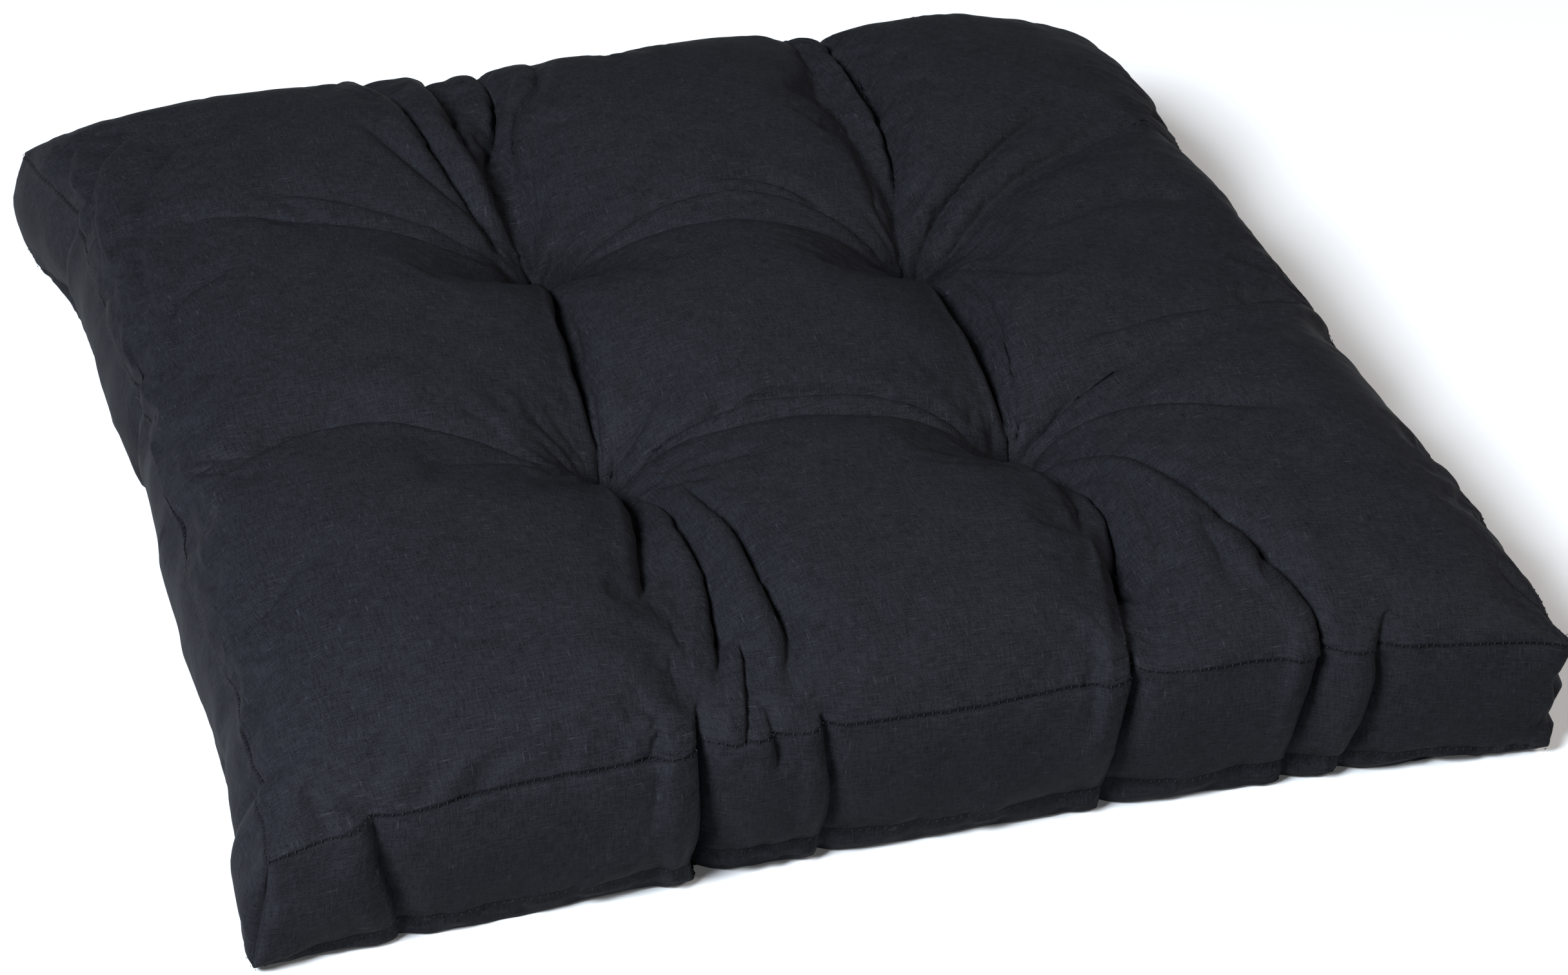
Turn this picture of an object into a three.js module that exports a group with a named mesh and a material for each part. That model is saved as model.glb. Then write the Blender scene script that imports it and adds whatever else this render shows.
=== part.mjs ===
// Lounge cushion: a square boxed seat cushion of woven cloth, filled and tufted at four places.
// Millimetres, Z up. X runs along the front edge, Y runs to the back, and it lies on its underside.
// Its cloth is described on the flat pattern: the top panel fills x and y from -300 to 300, and the
// boxing strip and the underside unfold outwards from its four edges.
import * as THREE from 'three';

// Driving sizes: the cut panel, the heights of the two seams at the corners and how far they rise
// along the sides, and the crown
const panelSide = 600;
const half = panelSide / 2;
const cornerSeamHeight = 60;
const seamLift = 19;
const lowCornerHeight = 5;
const lowSeamLift = 15;
const crownHeight = 38;
const underDrop = 24;

// Tufts and valleys: how deep each tuft pulls the top and the underside in, and how far around it
const tuftDepth = 48;
const tuftReach = 40;
const tuftBed = 5;
const pitDepth = 4;
const pitReach = 9;
const valleyDepthAtTuft = 37;
const underTuftDepth = 18;
const underTuftReach = 30;

// Roundness: a higher power keeps a panel flatter and its edge tighter
const crownPower = 5;
const underPower = 12;
const seamPower = 4.5;
const drawnPower = 6;
const shoulderPower = 8;
const stripPower = 10;
const blendPower = 4;
const sagAtEdge = 1.35;
const flankSteepness = 0.985;

// How far each side is drawn in between its corners, and how far each part of it swells out again
const edges = {
  front: { drawn: 5, shoulder: 7, strip: 4, under: 10 },
  back: { drawn: 16, shoulder: 2, strip: 5, under: 8 },
  left: { drawn: 8, shoulder: 16, strip: 9, under: 12 },
  right: { drawn: 14, shoulder: 4, strip: 6, under: 8 },
};

// The four places where the top is sewn through to the underside
const tufts = {
  frontLeft: [-93, -76],
  frontRight: [103, -104],
  backLeft: [-78, 110],
  backRight: [112, 72],
};

// Valleys between the pillows: depth halfway and at the far end, how far the pillow on the left and
// the one on the right of the run reach down into it, and the roundness of its bed
const valleys = [
  { from: tufts.frontLeft, to: tufts.backLeft, middle: 28, end: 37, left: 36, right: 74, bed: 2 },
  { from: tufts.frontRight, to: tufts.backRight, middle: 30, end: 37, left: 44, right: 74, bed: 2 },
  { from: tufts.frontLeft, to: tufts.frontRight, middle: 15, end: 37, left: 60, right: 60, bed: 3 },
  { from: tufts.backLeft, to: tufts.backRight, middle: 13, end: 37, left: 60, right: 60, bed: 3 },
  { from: tufts.frontLeft, to: [-110, -300], middle: 24, end: 8, left: 74, right: 74, bed: 8 },
  { from: tufts.frontRight, to: [92, -300], middle: 24, end: 8, left: 74, right: 74, bed: 8 },
  { from: tufts.backLeft, to: [-85, 300], middle: 28, end: 16, left: 78, right: 78, bed: 6 },
  { from: tufts.backRight, to: [110, 300], middle: 26, end: 12, left: 60, right: 80, bed: 6 },
  { from: tufts.frontLeft, to: [-300, -60], middle: 9, end: 2, left: 80, right: 80, bed: 16 },
  { from: tufts.backLeft, to: [-300, 150], middle: 9, end: 2, left: 80, right: 80, bed: 16 },
  { from: tufts.frontRight, to: [300, -60], middle: 10, end: 3, left: 80, right: 80, bed: 16 },
  { from: tufts.backRight, to: [300, 140], middle: 10, end: 3, left: 80, right: 80, bed: 16 },
];

// Folds of the gathered cloth: depth at each end, half width, and the path on the flat pattern
const folds = [
  {
    name: 'back left fan outer', start: 5, end: 8, reach: 8,
    path: [[-88, 120], [-116, 170], [-131, 258], [-133, 330]],
  },
  {
    name: 'back left fan middle', start: 6, end: 10, reach: 8,
    path: [[-83, 122], [-96, 215], [-97, 350]],
  },
  {
    name: 'back left fan inner', start: 6, end: 10, reach: 8,
    path: [[-80, 124], [-80, 200], [-68, 330]],
  },
  {
    name: 'back right pleat', start: 8, end: 12, reach: 9,
    path: [[108, 84], [117, 150], [124, 262], [122, 350]],
  },
  {
    name: 'back right side fold', start: 8, end: 3, reach: 9,
    path: [[117, 80], [149, 102], [224, 146]],
  },
  {
    name: 'right edge ripple', start: 2, end: 3, reach: 10,
    path: [[160, 34], [202, 46], [230, 51], [262, 40]],
  },
  {
    name: 'front right side fold', start: 8, end: 3, reach: 9,
    path: [[110, -102], [152, -121], [216, -155]],
  },
  {
    name: 'right side crease', start: 3, end: 5, reach: 10,
    path: [[132, -70], [187, -64], [262, -48], [340, -40]],
  },
  {
    name: 'front right sweep', start: 7, end: 13, reach: 9,
    path: [[102, -116], [137, -177], [165, -247], [177, -300], [174, -365]],
  },
  {
    name: 'front right pleat', start: 7, end: 14, reach: 9,
    path: [[98, -118], [103, -197], [88, -280], [82, -385]],
  },
  {
    name: 'front right nick', start: 4, end: 10, reach: 8,
    path: [[219, -276], [206, -306], [198, -368]],
  },
  {
    name: 'front left short pleat', start: 6, end: 5, reach: 8,
    path: [[-95, -84], [-104, -150], [-117, -220]],
  },
  {
    name: 'front left long pleat', start: 6, end: 8, reach: 8,
    path: [[-92, -96], [-91, -205], [-99, -270]],
  },
  {
    name: 'front left inner pleat', start: 5, end: 7, reach: 8,
    path: [[-76, -124], [-68, -200], [-68, -270]],
  },
  {
    name: 'front left deep pleat', start: 7, end: 17, reach: 9,
    path: [[-111, -272], [-117, -310], [-113, -390]],
  },
  {
    name: 'front middle nick', start: 4, end: 10, reach: 8,
    path: [[-54, -290], [-52, -315], [-49, -368]],
  },
  {
    name: 'front corner dent', start: 4, end: 8, reach: 9,
    path: [[-264, -286], [-256, -300], [-248, -330], [-242, -365]],
  },
  {
    name: 'left side ripple', start: 5, end: 4, reach: 10,
    path: [[-278, -92], [-235, -58], [-202, -59], [-120, -86]],
  },
  {
    name: 'left side crease', start: 4, end: 2, reach: 10,
    path: [[-92, 112], [-167, 112], [-236, 136]],
  },
  {
    name: 'left corner dent', start: 3, end: 6, reach: 9,
    path: [[-276, -262], [-300, -260], [-342, -252]],
  },
  {
    name: 'back strip dent', start: 3, end: 5, reach: 9,
    path: [[20, 296], [22, 350]],
  },
  {
    name: 'right strip dent', start: 4, end: 5, reach: 10,
    path: [[296, 176], [345, 170]],
  },
  {
    name: 'left strip dent', start: 4, end: 5, reach: 10,
    path: [[-296, 28], [-345, 20]],
  },
];

// Every fold: steps along its path, how fast it fades at its ends and what is left there, the share of
// its depth that heaps up beside it, and how far from a side the cloth still sinks level
const foldSteps = 12;
const fadeRate = 4;
const fadeLeft = 0.35;
const heapShare = 0.2;
const sideReach = 60;

// Mesh: spans across each panel, with more of them where the cloth bends most
const columns = 56;
const rows = 48;
const stripRows = 5;
const underInset = 0.975;
const crowdSamples = 2400;
const columnCrowds = [
  { at: -300, reach: 26, extra: 2.2 },
  { at: -92, reach: 44, extra: 1.9 },
  { at: 106, reach: 40, extra: 1.9 },
  { at: 300, reach: 26, extra: 2.2 },
];
const rowCrowds = [
  { at: -300, reach: 28, extra: 2.2 },
  { at: -88, reach: 40, extra: 1.2 },
  { at: 92, reach: 40, extra: 1.2 },
  { at: 300, reach: 28, extra: 2.2 },
];

// Lines of the net that follow the valleys, each from its own place: the columns from the front edge
// to the back edge, and the rows from the left edge to the right edge
const frontToBack = (frontX, tuftA, tuftB, backX) => [
  [-half, frontX],
  [tuftA[1], tuftA[0]],
  [tuftB[1], tuftB[0]],
  [half, backX],
];
const leftToRight = (leftY, tuftA, tuftB, rightY) => [[-half, leftY], tuftA, tuftB, [half, rightY]];
const columnPaths = [
  { at: -92, path: frontToBack(-110, tufts.frontLeft, tufts.backLeft, -85) },
  { at: 106, path: frontToBack(92, tufts.frontRight, tufts.backRight, 110) },
];
const rowPaths = [
  { at: -88, path: leftToRight(-60, tufts.frontLeft, tufts.frontRight, -60) },
  { at: 92, path: leftToRight(150, tufts.backLeft, tufts.backRight, 140) },
];
const followReach = 95;

const square = (value) => value * value;
const mix = (first, second, share) => first + (second - first) * share;

// Stops from -1 to 1, closer together at each crowd
function spread(count, crowds) {
  const total = [0];
  for (let i = 0; i < crowdSamples; i += 1) {
    const place = mix(-half, half, (i + 0.5) / crowdSamples);
    let weight = 1;
    for (const crowd of crowds) {
      weight += crowd.extra * Math.exp(-square((place - crowd.at) / crowd.reach));
    }
    total.push(total[i] + weight);
  }
  const stops = [];
  let i = 0;
  for (let k = 0; k <= count; k += 1) {
    const wanted = (total[crowdSamples] * k) / count;
    while (i < crowdSamples - 1 && total[i + 1] < wanted) i += 1;
    const share = (wanted - total[i]) / (total[i + 1] - total[i]);
    stops.push(mix(-1, 1, (i + share) / crowdSamples));
  }
  stops[0] = -1;
  stops[count] = 1;
  return stops;
}

// Height of a path of straight steps at one place along it
function pathAt(path, place) {
  let k = 0;
  while (k + 2 < path.length && place > path[k + 1][0]) k += 1;
  const [from, to] = [path[k], path[k + 1]];
  return mix(from[1], to[1], (place - from[0]) / (to[0] - from[0]));
}

// Shift of a line of the net towards the path beside it, fading out to both sides
function follow(place, along, paths) {
  let shift = 0;
  for (const line of paths) {
    const near = Math.max(0, 1 - square((place - line.at) / followReach));
    shift += square(near) * (pathAt(line.path, along) - line.at);
  }
  return place + shift;
}

// The place on a panel, from -1 to 1 each way, of one crossing of the net
function crossing(u, v) {
  return [follow(u * half, v * half, columnPaths) / half, follow(v * half, u * half, rowPaths) / half];
}

// Distance from a point to a straight run, how far along the run the nearest place is, and whether
// the point lies on the left of the run
function nearest(x, y, from, to) {
  const alongX = to[0] - from[0];
  const alongY = to[1] - from[1];
  const raw = ((x - from[0]) * alongX + (y - from[1]) * alongY) / (square(alongX) + square(alongY));
  const share = Math.min(1, Math.max(0, raw));
  const offX = x - from[0] - share * alongX;
  const offY = y - from[1] - share * alongY;
  return { distance: Math.hypot(offX, offY), share, onLeft: alongX * offY > alongY * offX };
}

// Share of a valley's depth at a distance from its bed, along the round flank of a pillow: 1 in the
// bed, steep beside it, level at the top of the flank
function flank(distance, reach, bed) {
  const left = Math.min(1, Math.max(0, 1 - (Math.hypot(distance, bed) - bed) / reach));
  return (1 - Math.sqrt(1 - flankSteepness * square(left))) / (1 - Math.sqrt(1 - flankSteepness));
}

// Depth of the tufts and valleys under the crown, the deepest one leading
function sag(x, y) {
  let sum = 0;
  let pits = 0;
  for (const valley of valleys) {
    const { distance, share, onLeft } = nearest(x, y, valley.from, valley.to);
    const middle = valley.middle;
    const depth = share < 0.5
      ? mix(middle, valleyDepthAtTuft, Math.pow(1 - 2 * share, 1.7))
      : mix(middle, valley.end, square(2 * share - 1));
    const reach = onLeft ? valley.left : valley.right;
    sum += Math.pow(depth * flank(distance, reach, valley.bed), blendPower);
  }
  for (const tuft of Object.values(tufts)) {
    const away = Math.hypot(x - tuft[0], y - tuft[1]);
    const slope = Math.hypot(away, tuftBed) - tuftBed;
    sum += Math.pow(tuftDepth * Math.exp(-slope / tuftReach), blendPower);
    pits += pitDepth * Math.exp(-square(away / pitReach));
  }
  return Math.pow(sum, 1 / blendPower) + pits;
}

// 1 over the middle of a panel, falling to 0 at its edges in a round shoulder
function dome(u, v, power) {
  const across = Math.max(0, 1 - Math.pow(Math.abs(u), power));
  const along = Math.max(0, 1 - Math.pow(Math.abs(v), power));
  return Math.sqrt(across * along);
}

// Share of the way from a corner's height to the height along the sides
function liftShare(u, v) {
  return 1 - Math.pow(Math.abs(u * v), seamPower);
}

const seamHeight = (u, v) => cornerSeamHeight + seamLift * liftShare(u, v);
const lowSeamHeight = (u, v) => lowCornerHeight + lowSeamLift * liftShare(u, v);

// Place along one axis: drawn in between the corners, and swelling past the seam just inside it
function planPlace(along, across, lowEdge, highEdge, swell) {
  const edge = along < 0 ? lowEdge : highEdge;
  const drawn = edge.drawn * Math.pow(Math.abs(along), drawnPower) * (1 - square(across));
  const wave = Math.sin(Math.PI * Math.pow(Math.abs(along), shoulderPower));
  const swollen = edge[swell] * wave * (1 - Math.pow(across, drawnPower));
  return along * half + Math.sign(along) * (swollen - drawn);
}

function planPoint(u, v, swell) {
  return [
    planPlace(u, v, edges.left, edges.right, swell),
    planPlace(v, u, edges.front, edges.back, swell),
  ];
}

// Which way is out of the nearest side, and how much the cloth there follows it: 1 at the side itself
function sideways(u, v) {
  const near = Math.max(0, 1 - (1 - Math.max(Math.abs(u), Math.abs(v))) * half / sideReach);
  const side = Math.abs(u) > Math.abs(v) ? [Math.sign(u), 0] : [0, Math.sign(v)];
  return { side, near: Math.sqrt(near) };
}

function topPoint(netU, netV) {
  const [u, v] = crossing(netU, netV);
  const [x, y] = planPoint(u, v, 'shoulder');
  const rise = dome(u, v, crownPower);
  const sunk = sag(x, y) * Math.min(1, rise * sagAtEdge);
  return {
    position: new THREE.Vector3(x, y, seamHeight(u, v) + crownHeight * rise - sunk),
    cloth: [u * half, v * half],
    ...sideways(u, v),
  };
}

// A point of the boxing strip: share runs from -1 to 1 along the side, drop from 0 at the top seam to 1
function stripPoint(sideName, share, drop) {
  const outward = { front: [0, -1], back: [0, 1], left: [-1, 0], right: [1, 0] }[sideName];
  const [u, v] = crossing(outward[0] || share, outward[1] || share);
  const [x, y] = planPoint(u, v, 'shoulder');
  const swollen = edges[sideName].strip * Math.sin(Math.PI * drop) * (1 - Math.pow(share, stripPower));
  const high = seamHeight(u, v);
  const low = lowSeamHeight(u, v);
  const down = drop * (high - low);
  return {
    position: new THREE.Vector3(x + outward[0] * swollen, y + outward[1] * swollen, high - down),
    cloth: [u * half + outward[0] * down, v * half + outward[1] * down],
    side: outward,
    near: 1,
  };
}

// The underside: round at its edges, hollow under each tuft, and flat where the cushion rests
function underPoint(netU, netV, inset = 1) {
  const [u, v] = crossing(netU, netV).map((value) => value * inset);
  const [x, y] = planPoint(u, v, 'under');
  let height = lowSeamHeight(u, v) - underDrop * dome(u, v, underPower);
  for (const tuft of Object.values(tufts)) {
    const away = Math.hypot(x - tuft[0], y - tuft[1]);
    height += underTuftDepth * Math.exp(-square(away / underTuftReach));
  }
  const stripDepth = cornerSeamHeight + seamLift - lowCornerHeight - lowSeamLift;
  const past = stripDepth + (1 - Math.max(Math.abs(u), Math.abs(v))) * half;
  const { side, near } = sideways(u, v);
  const cloth = side[0] ? [side[0] * (half + past), v * half] : [u * half, side[1] * (half + past)];
  return { position: new THREE.Vector3(x, y, Math.max(0, height)), cloth, side, near };
}

// Depth of the folds at a point of the flat pattern, with the cloth heaped up beside each fold
const foldRuns = folds.map((fold) => {
  const curve = new THREE.SplineCurve(fold.path.map(([x, y]) => new THREE.Vector2(x, y)));
  return { ...fold, stops: curve.getPoints(foldSteps).map((stop) => [stop.x, stop.y]) };
});

function foldDepth([x, y]) {
  let depth = 0;
  for (const fold of foldRuns) {
    let best = { distance: Infinity, share: 0 };
    for (let k = 0; k < foldSteps; k += 1) {
      const found = nearest(x, y, fold.stops[k], fold.stops[k + 1]);
      if (found.distance < best.distance) {
        best = { distance: found.distance, share: (k + found.share) / foldSteps };
      }
    }
    const toEnd = Math.min(best.share, 1 - best.share);
    const fade = Math.min(1, fadeLeft + fadeRate * toEnd);
    const trough = Math.exp(-square(best.distance / fold.reach));
    const heap = Math.exp(-square((best.distance - 2 * fold.reach) / fold.reach));
    depth += mix(fold.start, fold.end, best.share) * fade * (trough - heapShare * heap);
  }
  return depth;
}

// The skin: every point is kept once, so the panels share the points of their seams
const points = [];
const faces = [];
const known = new Map();

function addPoint(point) {
  const key = point.position.toArray().map((value) => value.toFixed(3)).join(' ');
  if (!known.has(key)) {
    known.set(key, points.length);
    points.push(point);
  }
  return known.get(key);
}

// Faces between rows of points; the rows run so that the outside is on the left of each step up
function addGrid(grid) {
  for (let j = 0; j + 1 < grid.length; j += 1) {
    for (let i = 0; i + 1 < grid[j].length; i += 1) {
      const corners = [grid[j][i], grid[j][i + 1], grid[j + 1][i + 1], grid[j + 1][i]];
      const flip = (i + j) % 2;
      faces.push([corners[0], corners[1], corners[2 + flip]]);
      faces.push([corners[flip], corners[2], corners[3]]);
    }
  }
}

const columnStops = spread(columns, columnCrowds);
const rowStops = spread(rows, rowCrowds);

function addTop() {
  addGrid(rowStops.map((v) => columnStops.map((u) => addPoint(topPoint(u, v)))));
}

function addStrip() {
  const sides = {
    front: columnStops,
    right: rowStops,
    back: [...columnStops].reverse(),
    left: [...rowStops].reverse(),
  };
  for (const [sideName, stops] of Object.entries(sides)) {
    const grid = [];
    for (let j = stripRows; j >= 0; j -= 1) {
      grid.push(stops.map((share) => addPoint(stripPoint(sideName, share, j / stripRows))));
    }
    addGrid(grid);
  }
}

const everySecond = (stops) => stops.filter((stop, index) => index % 2 === 0);

function addUnderside() {
  const coarseColumns = everySecond(columnStops);
  const coarseRows = everySecond(rowStops);
  const under = (u, v) => addPoint(underPoint(u, v, underInset));
  addGrid(coarseRows.map((v) => [...coarseColumns].reverse().map((u) => under(u, v))));
  addRim(columnStops, (share) => addPoint(underPoint(share, -1)), (share) => under(share, -1));
  addRim(rowStops, (share) => addPoint(underPoint(1, share)), (share) => under(1, share));
  addRim([...columnStops].reverse(), (share) => addPoint(underPoint(share, 1)), (share) => under(share, 1));
  addRim([...rowStops].reverse(), (share) => addPoint(underPoint(-1, share)), (share) => under(-1, share));
}

// The narrow band between the low seam and the coarser net of the underside
function addRim(stops, outerPoint, innerPoint) {
  for (let k = 0; k + 2 < stops.length; k += 2) {
    const outer = [outerPoint(stops[k]), outerPoint(stops[k + 1]), outerPoint(stops[k + 2])];
    const inner = [innerPoint(stops[k]), innerPoint(stops[k + 2])];
    faces.push([outer[0], inner[0], outer[1]]);
    faces.push([inner[0], inner[1], outer[1]]);
    faces.push([inner[1], outer[2], outer[1]]);
  }
}

// Every point sinks into the filling by the depth of its fold; what rests stays down on its plane
function sinkFolds(geometry) {
  const place = geometry.getAttribute('position');
  const normals = geometry.getAttribute('normal');
  points.forEach((point, i) => {
    const flat = new THREE.Vector3(point.side[0], point.side[1], 0);
    const outward = new THREE.Vector3().fromBufferAttribute(normals, i).lerp(flat, point.near).normalize();
    const sunk = point.position.clone().addScaledVector(outward, -foldDepth(point.cloth));
    const height = point.position.z === 0 ? 0 : Math.max(0, sunk.z);
    place.setXYZ(i, sunk.x, sunk.y, height);
  });
}

function buildSkin() {
  addTop();
  addStrip();
  addUnderside();
  const geometry = new THREE.BufferGeometry();
  geometry.setFromPoints(points.map((point) => point.position));
  geometry.setIndex(faces.flat());
  geometry.computeVertexNormals();
  sinkFolds(geometry);
  geometry.computeBoundingBox();
  const box = geometry.boundingBox;
  geometry.translate(-(box.min.x + box.max.x) / 2, -(box.min.y + box.max.y) / 2, -box.min.z);
  geometry.computeVertexNormals();
  return geometry;
}

const cloth = new THREE.MeshStandardMaterial({ name: 'anthracite cloth', roughness: 0.9, metalness: 0 });
cloth.color.setHex(0x2b2d33);

const cushion = new THREE.Mesh(buildSkin(), cloth);
cushion.name = 'cushion';

const part = new THREE.Group();
part.name = 'lounge cushion';
part.add(cushion);

export default part;
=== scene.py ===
import math
import time

import bpy
import numpy as np
from mathutils import Matrix, Vector


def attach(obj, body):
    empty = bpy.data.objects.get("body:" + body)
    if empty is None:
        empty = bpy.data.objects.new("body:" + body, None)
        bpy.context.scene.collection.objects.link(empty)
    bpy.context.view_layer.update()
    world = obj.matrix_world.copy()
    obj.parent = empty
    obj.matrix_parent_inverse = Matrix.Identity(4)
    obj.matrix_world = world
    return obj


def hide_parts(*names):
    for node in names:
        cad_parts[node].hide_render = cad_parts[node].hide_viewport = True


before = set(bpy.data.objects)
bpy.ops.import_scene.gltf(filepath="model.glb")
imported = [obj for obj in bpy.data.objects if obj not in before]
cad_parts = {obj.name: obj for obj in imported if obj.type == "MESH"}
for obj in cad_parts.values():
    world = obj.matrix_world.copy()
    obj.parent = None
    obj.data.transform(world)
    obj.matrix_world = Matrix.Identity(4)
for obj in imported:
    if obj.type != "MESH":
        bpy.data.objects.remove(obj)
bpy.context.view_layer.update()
mm = 0.001  # sizes below are in millimetres, the scene is in metres

scene = bpy.context.scene
scene.view_settings.view_transform = "Standard"  # so the cloth keeps its own dark tone


# camera: where the photo was taken from, measured against the cushion's corners
photoView = {
    "place": (-526.0, -1506.0, 1104.0),
    "aim": (1.0, -74.0, 47.0),
    "roll": 3.7,  # degrees clockwise
    "lens": 88.85,
    "sensor": 36.0,
}


def addCamera(view):
    # looks from place to aim, then turns about its own axis by roll
    data = bpy.data.cameras.new("photoCamera")
    data.sensor_width = view["sensor"]
    data.lens = view["lens"]
    data.clip_end = 50.0
    camera = bpy.data.objects.new("photoCamera", data)
    scene.collection.objects.link(camera)
    place = Vector(view["place"]) * mm
    sight = (Vector(view["aim"]) * mm - place).to_track_quat("-Z", "Y").to_matrix()
    turned = sight @ Matrix.Rotation(math.radians(view["roll"]), 3, "Z")
    camera.matrix_world = Matrix.Translation(place) @ turned.to_4x4()
    scene.camera = camera


addCamera(photoView)
print("camera placed")


def newPaint(name, inputs):
    # a material whose shader has these numbers and colours on its own sockets
    paint = bpy.data.materials.new(name)
    paint.use_nodes = True
    shader = paint.node_tree.nodes["Principled BSDF"]
    for socket, value in inputs.items():
        shader.inputs[socket].default_value = (*value, 1.0) if isinstance(value, tuple) else value
    return paint, shader


# studio: pale floor and a window lamp high on the left, with weak lamps on the right and behind
studio = {
    "floorSize": 8.0,
    "paper": {
        "Base Color": (0.64, 0.64, 0.64),
        "Roughness": 0.9,
        "Specular IOR Level": 0.1,
        "Emission Color": (1.0, 1.0, 1.0),
        "Emission Strength": 0.06,      # lifts the shadow on the paper
    },
    "roomTone": (1.0, 1.0, 1.0),
    "roomStrength": 0.04,
    "lamps": [
        # name, place in metres, size, watts, colour
        ("windowLamp", (-1.9, -1.2, 2.05), 0.9, 240.0, (0.84, 0.92, 1.0)),
        ("sideLamp", (2.3, -0.75, 1.8), 1.0, 60.0, (1.0, 0.95, 0.92)),
        ("backLamp", (1.2, 2.8, 1.7), 1.2, 5.0, (1.0, 0.97, 0.95)),
    ],
}


def addStudio(values):
    half = values["floorSize"] / 2
    mesh = bpy.data.meshes.new("floor")
    corners = [(-half, -half, 0.0), (half, -half, 0.0), (half, half, 0.0), (-half, half, 0.0)]
    mesh.from_pydata(corners, [], [(0, 1, 2, 3)])
    floor = bpy.data.objects.new("floor", mesh)
    scene.collection.objects.link(floor)
    mesh.materials.append(newPaint("palePaper", values["paper"])[0])
    room = bpy.data.worlds.new("paleRoom")
    scene.world = room
    room.use_nodes = True
    sky = room.node_tree.nodes["Background"]
    sky.inputs["Color"].default_value = (*values["roomTone"], 1.0)
    sky.inputs["Strength"].default_value = values["roomStrength"]
    for name, place, size, watts, tone in values["lamps"]:
        data = bpy.data.lights.new(name, "AREA")
        data.size = size
        data.energy = watts
        data.color = tone
        lamp = bpy.data.objects.new(name, data)
        scene.collection.objects.link(lamp)
        lamp.location = place
        lamp.rotation_euler = (-Vector(place)).to_track_quat("-Z", "Y").to_euler()


addStudio(studio)
print("studio lit")


# cover: the sewn cushion, on its flat pattern. x and y run from -300 to 300 over the top panel, and
# the side strip and the underside unfold outwards from its four edges
cover = {
    "half": 300.0,
    "cornerSeam": 60.0, "seamLift": 19.0,   # top seam: height at the corners, rise along the sides
    "cornerLow": 5.0, "lowLift": 11.0,      # low seam, the same
    "crown": 38.0,
    "underDrop": 24.0, "underPower": 12.0,
    "seamPower": 4.5, "drawnPower": 6.0, "shoulderPower": 8.0, "stripPower": 10.0,
    "tuftDepth": 48.0, "tuftReach": 40.0, "tuftBed": 5.0, "upright": 0.985,
    "pitDepth": 4.0, "pitReach": 9.0,     # the narrow pit that the tuft itself sits in
    "valleyAtTuft": 37.0, "valleyPower": 1.7, "sagAtEdge": 1.35, "blendPower": 4.0,
    "underTuftDepth": 18.0, "underTuftReach": 30.0,
    "sideReach": 60.0,                      # how far from a side its cloth still sinks level
    "tipRound": 4.0, "stripRound": 9.0,     # corner rounding at the seams, and more halfway down
    "cornerBulge": 0.7,
    "columns": 340, "rows": 310,            # spans of the top panel
    "underStep": 5,                         # the flat underside takes every fifth line
    "insets": (0.996, 0.99, 0.98, 0.966, 0.95, 0.93),  # rings that curl under
    "underGap": 0.02,                       # from the last ring to the flat underside
}
half = cover["half"]

# how far each side is drawn in, how far its shoulder, strip and underside swell out again, how the crown
# comes down to its seam, late with a high power and steep at the seam with a low edge, and the lean
sideSwell = {
    # side: drawn, shoulder, strip, under, crown power, crown edge, lean in towards the low seam
    "front": (5.0, 3.0, 4.0, 10.0, 6.0, 0.88, 8.0),
    "back": (16.0, 2.0, 5.0, 8.0, 5.0, 0.5, 4.0),
    "left": (8.0, 15.0, 9.0, 12.0, 5.0, 0.65, 6.0),
    "right": (14.0, 4.0, 6.0, 8.0, 5.0, 0.65, 4.0),
}

# corners: place, how far round it, shift of the top seam, shift of the low seam, bulge of the strip
cornerShape = [
    ((-300.0, -300.0), 55.0, (-4.5, 0.0), (-12.0, 2.0), 4.0),
    ((-300.0, 300.0), 60.0, (-8.0, 0.0), (-8.0, 0.0), 7.0),
    ((300.0, 300.0), 75.0, (-10.0, -12.0), (-10.0, -12.0), 4.0),
    ((300.0, -300.0), 45.0, (1.0, 0.0), (-2.0, 0.0), 2.0),
]

tufts = {
    "frontLeft": (-98.0, -83.0),
    "frontRight": (97.0, -113.0),
    "backLeft": (-82.0, 90.0),
    "backRight": (106.0, 58.0),
}

steep = cover["upright"]
valleys = [
    # from, to, depth halfway, depth at the end, half width left and right of the run, roundness of the
    # bed, and how upright the left flank ends: 1 is a wall
    (tufts["frontLeft"], tufts["backLeft"], 24, 37, 96, 62, 1.5, 0.93),
    (tufts["frontRight"], tufts["backRight"], 24, 37, 92, 62, 1.5, 0.93),
    (tufts["frontLeft"], tufts["frontRight"], 16, 37, 70, 60, 3, steep),
    (tufts["backLeft"], tufts["backRight"], 14, 37, 70, 60, 3, steep),
    (tufts["frontLeft"], (-110, -300), 14, 6, 80, 80, 8, steep),
    (tufts["frontRight"], (92, -300), 16, 7, 80, 74, 8, steep),
    (tufts["backLeft"], (-85, 300), 18, 12, 80, 84, 6, steep),
    (tufts["backRight"], (110, 300), 19, 10, 66, 84, 6, steep),
    (tufts["frontLeft"], (-300, -60), 6, 1, 80, 80, 16, steep),
    (tufts["backLeft"], (-300, 150), 7, 2, 80, 80, 16, steep),
    (tufts["frontRight"], (300, -60), 10, 3, 80, 80, 16, steep),
    (tufts["backRight"], (300, 140), 10, 3, 80, 80, 16, steep),
]

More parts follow.
